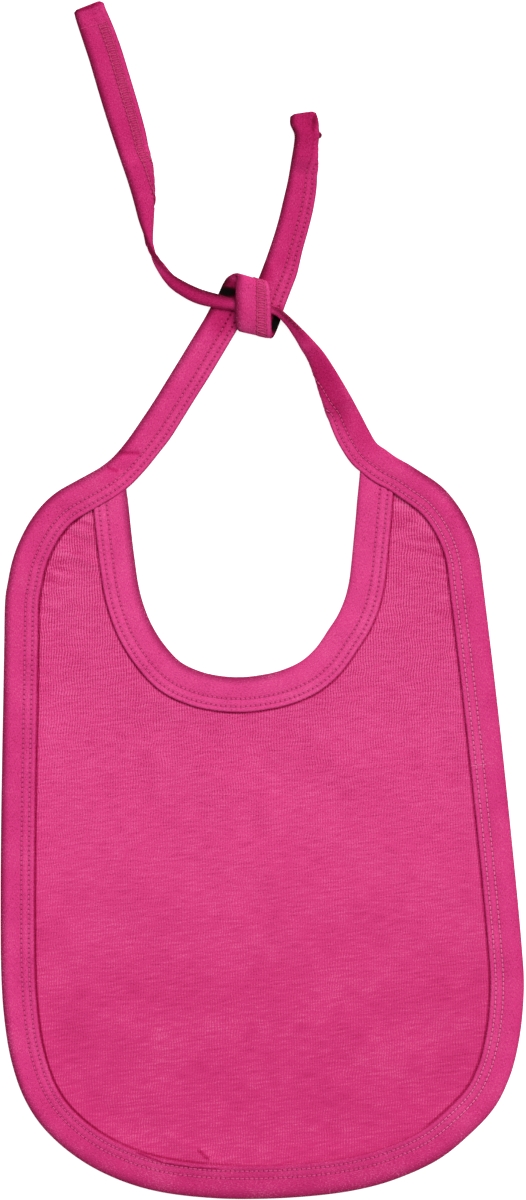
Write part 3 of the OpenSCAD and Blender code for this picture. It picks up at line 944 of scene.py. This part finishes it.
@dataclass(frozen=True)
class TapeJersey:
    """The same jersey cut as binding tape, pricked by the needles, with painted shade along its
    fold and in the needle holes.
    """

    name: str = "cotton jersey tape, magenta"
    roughness: float = 0.95
    # Colours across the tape, from its folded edge to its free edge, also carry painted shade and
    # light: darker at the fold, the needle rows and the free edge, lighter on the puff between the
    # rows.
    tones: tuple[tuple[float, str], ...] = (
        (0, "#c42868"), (0.06, "#d03178"), (0.12, "#d8367e"), (0.3, "#dc3a82"), (0.55, "#da3880"),
        (0.62, "#d6347c"), (0.74, "#e04087"), (0.86, "#d83880"), (0.95, "#df3f86"),
        (0.99, "#ba2264"),
    )
    # Painted shade at the fold, and along the bottom edge and its fold.
    fold: str = "#8a1044"
    bottom: str = "#bf2467"
    bottom_fold_shade: str = "#94194c"
    dark: str = "#a01650"
    light: str = "#f070a6"
    # Painted shade in the needle holes, along the needle rows and in the looper band.
    needle_hole_shade: str = "#80003a"
    needle_row_shade: str = "#a01050"
    looper_row_shade: str = "#980848"
    relief: float = 0.0001
    # Lines of painted shade along creases at the left shoulder and at the bottom left.
    wrinkles: tuple[Crease, ...] = (
        Crease((-61.8, 63.3), (-52.3, 63.0), 1.5, 0.28),
        Crease((-67.2, 56.9), (-61.8, 55.2), 1.4, 0.28),
        Crease((-54.5, -237.3), (-41.5, -242.3), 0.7, 0.4),
        Crease((-42.5, -242.0), (-30.0, -244.1), 0.7, 0.4),
        Crease((-31.0, -244.0), (-18.5, -244.5), 0.7, 0.35),
    )

    def folded(self, f: Finish, u: Socket, x: Socket,
               y: Socket) -> Socket:
        """Colour across the tape, with painted shade at its fold and along the bottom edge.

        Args:
            f: the finish that takes the nodes.
            u: lateral distance from the folded edge, in millimetres.
            x: place on X, in metres.
            y: place on Y, in metres.

        Returns:
            The even colour.
        """
        across = f.ramp(f.math("DIVIDE", u, TAPE_W), self.tones)
        # Painted shade: the fold is dark where it faces away from the light, which the right side,
        # the strap and a part of the neck tape don't
        side = f.times(f.span(x, 0.07, 0.095, 0.0, 1.0), f.span(y, 0.04, 0.0, 0.0, 1.0))
        strap = f.times(f.span(x, 0.012, 0.02, 0.0, 1.0), f.near(y, 0.088, 0.026, 0.034))
        neck = f.times(f.near(x, 0.035, 0.015, 0.035), f.near(y, 0.0, 0.056, 0.066))
        facing = f.math("MAXIMUM", f.math("MAXIMUM", side, strap), neck)
        rim = f.times(f.span(u, 0.0, 3.6, 0.95, 0.0), f.math("SUBTRACT", 1.0, facing))
        across = f.mix(rim, across, self.fold)
        # Painted shade: the tape along the bottom edge is darker, most of all along its fold, which
        # faces away from the light
        bottom = f.span(y, -0.2, -0.262, 0.0, 1.0)
        colour = f.mix(f.times(bottom, 0.75), across, self.bottom)
        return f.mix(f.times(bottom, f.span(u, 0.0, 5.5, 0.7, 0.0)), colour, self.bottom_fold_shade)

    def open_cloth(self, f: Finish, place: Socket, x: Socket,
                   y: Socket) -> Socket:
        """1 where the needle rows show, and 0 where the ties' folded hems hide them.

        Args:
            f: the finish that takes the nodes.
            place: place on the object, in metres.
            x: place on X, in metres.
            y: place on Y, in metres.

        Returns:
            The share that shows.
        """
        tip = f.add("VectorMath", {0: place, 1: (-0.31, 0.95, 0)}, operation="DOT_PRODUCT")
        short_end = f.times(f.span(y, 0.178, 0.194, 0.0, 0.85), f.span(x, -0.01, 0.0, 0.0, 1.0))
        long_end = f.span(tip.outputs["Value"], 0.256, 0.2572, 0.0, 1.0)
        return f.math("SUBTRACT", 1.0, f.math("MAXIMUM", short_end, long_end))

    def material(self) -> bpy.types.Material:
        """The tape's node tree: knit and tone, with painted shade at the fold, the bottom edge, the
        needle holes, the looper band and the creases.
        """
        f = Finish(self.name, self.roughness)
        uv = f.add("SeparateXYZ", {0: f.add("UVMap").outputs[0]})
        u, v = f.math("ABSOLUTE", uv.outputs["X"]), uv.outputs["Y"]
        place = f.add("TexCoord").outputs["Object"]
        at = f.add("SeparateXYZ", {0: place}).outputs
        x, y = at["X"], at["Y"]
        patch = f.noise(f.stretched(place, (60, 60, 60)), 1.0, 3.0)
        run = f.add("CombineXYZ", {0: f.times(u, 2.4), 1: v})
        wale = f.noise(run.outputs[0], 1.0, 0.0)
        grain = f.noise(place, 2600.0, 0.0)
        parts = ((patch, 0.5, 0.5), (wale, 0.5, 0.5), (grain, 0.5, 0.6))
        even = self.folded(f, u, x, y)
        colour = f.mottled(even, parts, 0.4, self.dark, self.light, 0.65)
        # Painted shade in the needle holes of the two rows, half way between the visible stitches,
        # and a little along the rows
        shown = self.open_cloth(f, place, x, y)
        beat = f.math("PINGPONG", f.math("DIVIDE", v, STITCH), 0.5)
        hole = f.span(beat, 0.28, 0.06, 0.0, 0.88)
        rows = (f.near(u, middle, 0.15, 0.65) for middle in (OUTER_ROW, INNER_ROW))
        row = f.times(f.math("MAXIMUM", *rows), shown)
        colour = f.mix(f.times(row, hole), colour, self.needle_hole_shade)
        colour = f.mix(f.times(row, 0.12), colour, self.needle_row_shade)
        # Painted shade where the looper thread draws the underside together between the rows
        under = f.times(f.math("LESS_THAN", uv.outputs["X"], 0.0), shown)
        drawn = f.times(under, f.near(u, (OUTER_ROW + INNER_ROW) / 2, 1.9, 2.5))
        colour = f.mix(f.times(drawn, 0.22), colour, self.looper_row_shade)
        # Painted shade along the creases, on top of the mesh's own painted shade.
        shade = f.shaded(colour, *[f.line(place, crease) for crease in self.wrinkles])
        return f.done(shade, f.math("ADD", wale, grain), self.relief)


@dataclass(frozen=True)
class SewingThread:
    """Spun polyester sewing thread, dyed to match, with a painted highlight on the body and painted
    shade on the ties.
    """

    name: str = "spun polyester sewing thread, magenta"
    roughness: float = 0.7
    body: tuple[str, str] = ("#c8306f", "#eb6ca8")
    body_right_highlight: str = "#ffa6cc"
    ties: tuple[str, str] = ("#bc2662", "#e6588f")

    def material(self) -> bpy.types.Material:
        """The thread's node tree: two tones of twist, the lighter also a painted highlight, more
        highlight on the right and shade on the ties.
        """
        f = Finish(self.name, self.roughness)
        place = f.add("TexCoord").outputs["Object"]
        at = f.add("SeparateXYZ", {0: place}).outputs
        twist = f.noise(place, 700.0, 1.0)
        # Painted highlight: the thread on the body is lighter on the right.
        right = f.span(at["X"], 0.05, 0.09, 0.0, 0.45)
        body = f.mix(right, f.mix(twist, *self.body), self.body_right_highlight)
        # Painted shade: the thread on the ties is darker.
        behind = f.span(at["Y"], 0.05, 0.13, 0.0, 1.0)
        return f.done(f.mix(behind, body, f.mix(twist, *self.ties)))



# ---------------------------------------------------------------- stitches


def whole_stitches(tape: Tape, start: float, end: float) -> np.ndarray:
    """Distances along a tape, a few to each stitch, over the whole stitches in a stretch.

    Args:
        tape: the tape that is sewn.
        start: where the stretch starts.
        end: where it ends, if the tape is that long.

    Returns:
        The distances in millimetres.
    """
    first = math.ceil(start / STITCH)
    last = math.floor(min(end, tape.length) / STITCH)
    return np.linspace(first, last, (last - first) * PER_STITCH + 1) * STITCH


def hop(stitches_along: np.ndarray) -> np.ndarray:
    """Height of a needle thread from 0 at each hole to 1 between two holes."""
    return np.abs(np.sin(math.pi * stitches_along)) ** 0.6


@dataclass(frozen=True)
class NeedleRow:
    """One row of needle thread, which dives into the tape at each hole."""

    tape: Tape
    u: float
    start: float = 0.0
    end: float = 1e9
    radius: float = 0.21
    sunk: float = 0.3
    rise: float = 0.42
    around: int = 5

    def add_to(self, bm: bmesh.types.BMesh) -> None:
        """Adds the row as one thin tube."""
        v = whole_stitches(self.tape, self.start, self.end)
        lift = self.rise * hop(v / STITCH) - self.sunk
        middle = self.tape.surface(self.u, v, 0)
        tube(bm, middle, self.tape, v, lift, self.radius, self.around)


@dataclass(frozen=True)
class CrossRow:
    """Row of stitches across a tape, at one distance along it."""

    tape: Tape
    v: float
    start: float = 0.8
    end: float = 13.8
    radius: float = 0.16
    back: bool = False
    closeness: float = 1.5
    sunk: float = 0.3
    rise: float = 0.38
    around: int = 5

    def add_to(self, bm: bmesh.types.BMesh) -> None:
        """Adds the row as one thin tube."""
        count = round((self.end - self.start) / STITCH * self.closeness)
        points = count * PER_STITCH + 1
        u = np.linspace(self.start, self.end, points)
        v = np.full(points, self.v)
        spots = [self.tape.surface(a, v[:1], 0.0, self.back)[0] for a in u]
        lift = self.rise * hop(np.linspace(0, count, points)) - self.sunk
        tube(bm, np.array(spots), self.tape, v, lift, self.radius, self.around, self.back)



def tube(bm: bmesh.types.BMesh, middle: np.ndarray, tape: Tape, v: np.ndarray, lift: np.ndarray,
         radius: float, around: int, back: bool = False) -> None:
    """Thin thread that follows places on a tape.

    Args:
        bm: the mesh that takes the thread.
        middle: places on the tape's surface.
        tape: the tape, for its directions.
        v: distance along the tape at each place.
        lift: height of the thread's middle over each place.
        radius: the thread's radius.
        around: how many faces go round the thread.
        back: True where the thread lies on the underside.
    """
    normal = unit(at_places(v, tape.v, tape.normal))
    if back:
        normal = -normal
    path = middle + normal * np.asarray(lift)[:, None]
    run = unit(np.gradient(path, axis=0))
    side = unit(np.cross(run, normal))
    over = np.cross(side, run)
    turns = np.linspace(0, 2 * math.pi, around, endpoint=False)
    places = (
        path[:, None] + side[:, None] * (radius * np.cos(turns))[None, :, None]
        + over[:, None] * (radius * np.sin(turns))[None, :, None]
    )
    flat = np.zeros((*places.shape[:2], 2))
    closed_tube(bm, places, flat)


@dataclass(frozen=True)
class LooperBand:
    """Looper thread of the coverstitch, which zigzags between the rows on the underside."""

    tape: Tape
    start: float = 0.0
    end: float = 1e9
    radius: float = 0.22
    spread: float = 0.7
    lift: float = 0.06
    chain_lift: float = 0.05
    chain_beat: float = 0.12
    around: int = 4

    def add_to(self, bm: bmesh.types.BMesh) -> None:
        """Adds the crossing thread and the two chains beside it."""
        v = whole_stitches(self.tape, self.start, self.end)
        # The thread stays at each side for a part of the stitch and then crosses over
        cross = np.clip(np.abs((v / STITCH) % 1 - 0.5) * 3.4 - 0.35, 0, 1)
        u = OUTER_ROW - self.spread + (INNER_ROW - OUTER_ROW + 2 * self.spread) * cross
        middle = np.array([
            self.tape.surface(a, v[k : k + 1], 0.05, True)[0] for k, a in enumerate(u)
        ])
        level = np.full(len(v), self.lift)
        tube(bm, middle, self.tape, v, level, self.radius, self.around, True)
        lift = self.chain_lift + self.chain_beat * np.sin(2 * math.pi * v / STITCH)
        for row in (OUTER_ROW, INNER_ROW):
            middle = self.tape.surface(row, v, 0.0, True)
            tube(bm, middle, self.tape, v, lift, self.radius, self.around, True)



def stitches(name: str, runs: Sequence, material: bpy.types.Material) -> bpy.types.Object:
    """One object for several runs of stitching.

    Args:
        name: the piece's name.
        runs: needle rows or looper bands.
        material: the thread's finish.

    Returns:
        The new object.
    """
    whole = bmesh.new()
    for run in runs:
        part = bmesh.new()
        run.add_to(part)
        spare = bpy.data.meshes.new("part of " + name)
        part.to_mesh(spare)
        part.free()
        whole.from_mesh(spare)
        bpy.data.meshes.remove(spare)
    LOG.info("%s: %d faces", name, len(whole.faces))
    return finish_mesh(name, whole, material)


# ---------------------------------------------------------------- the panels


@dataclass(frozen=True)
class Panels:
    """The bib's two layers of jersey, between the edge tape and the neck tape."""

    outer: np.ndarray
    inner: np.ndarray
    columns: int = 430
    rows: int = 120
    cloth: float = 0.55
    creases: tuple[Crease, ...] = (
        Crease((-42, -230), (-20, -242), 3.0, 0.5),
        Crease((80, -130), (90, -118), 5.0, 0.4),
        Crease((-88, 22), (-70, 14), 2.2, 0.35),
        Crease((-84, 30), (-72, 22), 1.8, -0.3),
    )

    def height(self, x: np.ndarray, y: np.ndarray, hem: np.ndarray) -> np.ndarray:
        """Height of the front cloth's top.

        Args:
            x: places in millimetres.
            y: places in millimetres.
            hem: distance from the nearer cut edge.

        Returns:
            Heights in millimetres.
        """
        free = soft(11.5, 24, hem)
        level = 2.1 - 0.55 * free
        waves = 0.22 * Field(46, 3).at(x, y) + 0.08 * Field(17, 4).at(x, y)
        pucker = 0.1 * Field(6.0, 5).at(x, y) * bump(hem, 13.5, 5)
        lines = sum(c.at(x, y) for c in self.creases)
        return level + free * waves + soft(9, 12, hem) * (pucker + lines)

    def build(self, name: str, drop: float, material: bpy.types.Material) -> bpy.types.Object:
        """One layer of the panel.

        Args:
            name: the piece's name.
            drop: how far the layer lies below the front cloth.
            material: the panel jersey's finish.

        Returns:
            The new object.
        """
        outer = evened(self.outer, lengths(self.outer), self.columns)
        inner = evened(self.inner, lengths(self.inner), self.columns)
        t = np.linspace(0, 1, self.rows)[:, None, None]
        flat = outer[None] * (1 - t) + inner[None] * t
        x, y = flat[..., 0], flat[..., 1]
        from_edge, from_neck = gap_to(outer, flat), gap_to(inner, flat)
        hem = np.minimum(from_edge, from_neck)
        top = self.height(x, y, hem) - drop
        places = np.stack([x, y, np.maximum(top, self.cloth + 0.05)], axis=-1)
        bm = bmesh.new()
        layers = [bm.verts.layers.float.new(title) for title in ("hem", "neckline")]
        table = add_grid(bm, places, flat)
        for layer, far in zip(layers, (from_edge, from_neck)):
            for row, values in zip(table, far):
                for v, value in zip(row, values):
                    v[layer] = float(value)
        if bm.faces[:][0].normal.z < 0:
            bmesh.ops.reverse_faces(bm, faces=bm.faces)
        obj = finish_mesh(name, bm, material)
        thick = obj.modifiers.new("cloth", "SOLIDIFY")
        thick.thickness = self.cloth * MM
        thick.offset = -1
        LOG.info("%s: %d x %d", name, self.columns, self.rows)
        return obj


# ---------------------------------------------------------------- light, floor and camera


@dataclass(frozen=True)
class Studio:
    """Soft studio light, a pale floor and the camera above the bib."""

    view_l: float = 516.0
    lens: float = 100.0
    sensor: float = 36.0
    middle: tuple[float, float, float] = (0.3, -0.1, 2.0)
    sky: float = 0.36
    lamp_energy: float = 2.45
    lamp_spread: float = 38.0
    lamp_from: tuple[float, float, float] = (0.32, 0.62, 1.0)
    floor_half: float = 2.5
    floor_z: float = -0.0004
    floor_glow: float = 0.8

    def world(self) -> None:
        """Even light from all round, which the camera sees as white."""
        world = bpy.data.worlds.new("studio")
        bpy.context.scene.world = world
        world.use_nodes = True
        tree = world.node_tree
        back = tree.nodes["Background"]
        back.inputs["Color"].default_value = (1, 1, 1, 1)
        path = tree.nodes.new("ShaderNodeLightPath")
        level = tree.nodes.new("ShaderNodeMapRange")
        level.inputs["To Min"].default_value = self.sky
        level.inputs["To Max"].default_value = 1.0
        tree.links.new(path.outputs["Is Camera Ray"], level.inputs["Value"])
        tree.links.new(level.outputs["Result"], back.inputs["Strength"])

    def key(self) -> None:
        """Wide soft lamp from above the ties."""
        lamp = bpy.data.lights.new("key", "SUN")
        lamp.energy = self.lamp_energy
        lamp.angle = math.radians(self.lamp_spread)
        obj = bpy.data.objects.new("key", lamp)
        bpy.context.scene.collection.objects.link(obj)
        obj.rotation_mode = "QUATERNION"
        obj.rotation_quaternion = Vector(self.lamp_from).to_track_quat("Z", "Y")

    def floor(self) -> None:
        """White surface under the bib, which keeps the bib's shadow."""
        bm = bmesh.new()
        bmesh.ops.create_grid(bm, x_segments=1, y_segments=1, size=self.floor_half)
        for v in bm.verts:
            v.co.z = self.floor_z
        f = Finish("white studio floor", 0.9)
        glow = f.times(f.add("LightPath").outputs["Is Camera Ray"], self.floor_glow)
        f.tree.links.new(glow, f.shader.inputs["Emission Strength"])
        f.shader.inputs["Emission Color"].default_value = (1, 1, 1, 1)
        f.shader.inputs["Base Color"].default_value = (0.9, 0.9, 0.9, 1)
        finish_mesh("floor", bm, f.material)

    def camera(self) -> None:
        """Long lens straight above the middle of the bib."""
        data = bpy.data.cameras.new("camera")
        data.lens = self.lens
        data.sensor_width = self.sensor
        data.clip_start, data.clip_end = 0.1, 10
        obj = bpy.data.objects.new("camera", data)
        bpy.context.scene.collection.objects.link(obj)
        x, y, top = (n * MM for n in self.middle)
        obj.location = (x, y, top + self.view_l * MM * self.lens / self.sensor)
        bpy.context.scene.camera = obj
        bpy.context.scene.view_settings.view_transform = "Standard"



# ---------------------------------------------------------------- the bib


class Body(Enum):
    """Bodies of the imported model."""

    BIB = "bib"
    LOOP = "neck_loop"
    LONG = "long_tie_end"
    SHORT = "short_tie_end"


class Bib:
    """All of the bib's pieces."""

    def __init__(self) -> None:
        """Makes the finishes and the runs of tape."""
        self.cloth, self.tape, self.thread = (
            finish.material() for finish in (PanelJersey(), TapeJersey(), SewingThread())
        )
        route = smooth([
            (x * (BODY_W - TAPE_W) / 2, SHOULDER_Y + y * (BODY_L - TAPE_W / 2))
            for x, y in EDGE_ROUTE
        ])
        neck = smooth([
            (NECK_X + x * NECK_W / 2, SHOULDER_Y + y * NECK_DEPTH) for x, y in NECK_ROUTE
        ])
        body = rails(route, TAPE_W, BOUND_HALF)
        x, y = body[:, 3], body[:, 4]
        left_end, right_end = NECK_ENDS_X
        near_neck = np.abs(x - np.where(x > 0, right_end, left_end)) / NECK_END_REACH
        over_neck = NECK_END_RISE * (1 - soft(0.6, 1.3, near_neck)) * (y > 0)
        for column in (2, 5, 6):
            body[:, column] += over_neck
        self.body = body
        rows = np.vstack([smooth(LEFT_STRAP)[:-1], body[6:-6], smooth(RIGHT_STRAP)[1:]])
        self.edge = Tape("edge_tape", rows, seed=11, creases=(
            Crease((-62.0, 63.8), (-52.5, 63.2), 1.2, -0.45),
            Crease((-67.0, 57.2), (-59.5, 55.6), 1.1, -0.45),
            Crease((-63.5, 60.5), (-55.0, 59.0), 1.6, 0.3),
            Crease((47.0, 62.0), (51.0, 66.0), 0.9, -0.4),
        ))
        run = unit(np.gradient(neck, axis=0))
        outward = np.column_stack([run[:, 1], -run[:, 0]]) * NECK_TAPE_W
        along = lengths(neck)
        tucked = 1 - soft(2, 12, np.minimum(along, along[-1] - along))
        level, half = BOUND_HALF + 0.4 * tucked, BOUND_HALF - 0.45 * tucked
        # Painted light: a shade whose depth is below zero makes the whole neck tape a little
        # lighter.
        self.neck = Tape(
            "neck_tape", np.column_stack([neck, level, neck + outward, level, half]),
            width=NECK_TAPE_W, face=-1, seed=23, shades=(Shade(NECK_X, 10, 95, 95, 0, -0.09),),
        )
        self.wrap = Tape(
            "knot_and_short_tie", smooth(KNOT), width=13.2, face=-1, step=0.7, seed=31,
            nub=(24.2, 199.8, 1.9, 1.5), corner=1.3,
        )
        self.long = Tape("long_tie", smooth(LONG_TIE), step=0.7, seed=41, corner=1.0)

    def join(self) -> float:
        """Distance along the edge tape of the seam that joins its two ends."""
        gap = np.linalg.norm(self.edge.free[:, 0:2] - np.array(JOIN), axis=1)
        return float(self.edge.v[gap.argmin()])

    def bodies(self, obj: bpy.types.Object) -> bpy.types.Object:
        """Bakes a piece's placement into its mesh.

        Args:
            obj: a finished piece.

        Returns:
            The piece.
        """
        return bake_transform(obj)

    def cloths(self) -> None:
        """The panels and all runs of tape."""
        body, neck = self.body, self.neck
        outer = between(body[:, 0:2], body[:, 3:5], PANEL_INSET)[8:-8]
        inner = between(neck.fold, neck.free, PANEL_INSET)[6:-6, 0:2]
        panels = Panels(outer, inner)
        back = panels.build("back_jersey", BACK_DROP, self.cloth)
        front = panels.build("front_jersey", 0.0, self.cloth)
        runs = (self.edge, neck, self.wrap, self.long)
        edge, neck_tape, wrap, long = tapes = [run.build(self.tape) for run in runs]
        for obj, other, nodes in (
            (back, Body.BIB, ["back_panel"]),
            (front, Body.BIB, ["front_panel"]),
            (edge, Body.BIB, ["edge_binding", "left_strap", "right_strap"]),
            (neck_tape, Body.BIB, ["neck_binding"]),
            (wrap, Body.SHORT, ["knot_wrap", "right_tie"]),
            (long, Body.LONG, ["left_tie"]),
        ):
            self.bodies(obj)
            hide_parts(*nodes)

    def threads(self) -> None:
        """All stitching, with where each run starts and ends along its tape."""
        edge, neck, wrap, long = self.edge, self.neck, self.wrap, self.long
        strap_start = edge.length - 92
        short_rows = [
            NeedleRow(wrap, u, 56, wrap.first_past(188)) for u in (OUTER_ROW, INNER_ROW)
        ]
        short_hem = CrossRow(wrap, wrap.length - HEM, 0.8, 12, back=True)
        long_hem = CrossRow(long, long.length - HEM, back=True)
        pieces = (
            ("edge_outer_row", [NeedleRow(edge, OUTER_ROW, 8, strap_start + 50)], Body.BIB,
             ["edge_outer_row_thread", "left_strap_row_threads"]),
            ("edge_inner_row", [NeedleRow(edge, INNER_ROW, 8, strap_start + 50)], Body.BIB,
             ["edge_inner_row_thread", "right_strap_row_threads"]),
            ("neck_outer_row", [NeedleRow(neck, OUTER_ROW, 11, neck.length - 11)], Body.BIB,
             ["neck_outer_row_thread"]),
            ("neck_inner_row", [NeedleRow(neck, INNER_ROW, 11, neck.length - 11)], Body.BIB,
             ["neck_inner_row_thread"]),
            ("edge_looper", [LooperBand(edge, 30, strap_start + 20)], Body.BIB,
             ["edge_looper_thread"]),
            ("neck_looper", [LooperBand(neck, 12, neck.length - 12)], Body.BIB,
             ["neck_looper_thread"]),
            ("knot_looper", [LooperBand(wrap, 14, 52)], Body.SHORT, ["knot_looper_thread"]),
            ("short_tie_rows", short_rows, Body.SHORT, ["right_tie_row_threads"]),
            ("short_tie_hem", [short_hem], Body.SHORT, ["right_tie_hem_thread"]),
            ("long_tie_looper", [LooperBand(long, 70, long.length - HEM)], Body.LONG,
             ["left_tie_looper_thread"]),
            ("long_tie_hem", [long_hem], Body.LONG, ["left_tie_hem_thread"]),
            ("tape_join", [CrossRow(edge, self.join(), 7.7, 13.8)], Body.BIB,
             ["tape_join_thread"]),
        )
        for name, runs, other, nodes in pieces:
            obj = stitches(name, runs, self.thread)
            self.bodies(obj)
            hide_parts(*nodes)



def main() -> None:
    """Builds the bib and its studio."""
    logging.basicConfig(level=logging.INFO, format="%(message)s")
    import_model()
    studio = Studio()
    for part in (studio.camera, studio.world, studio.key, studio.floor):
        part()
        LOG.info("studio: %s", part.__name__)
    bib = Bib()
    bib.cloths()
    bib.threads()


if __name__ == "__main__":
    main()
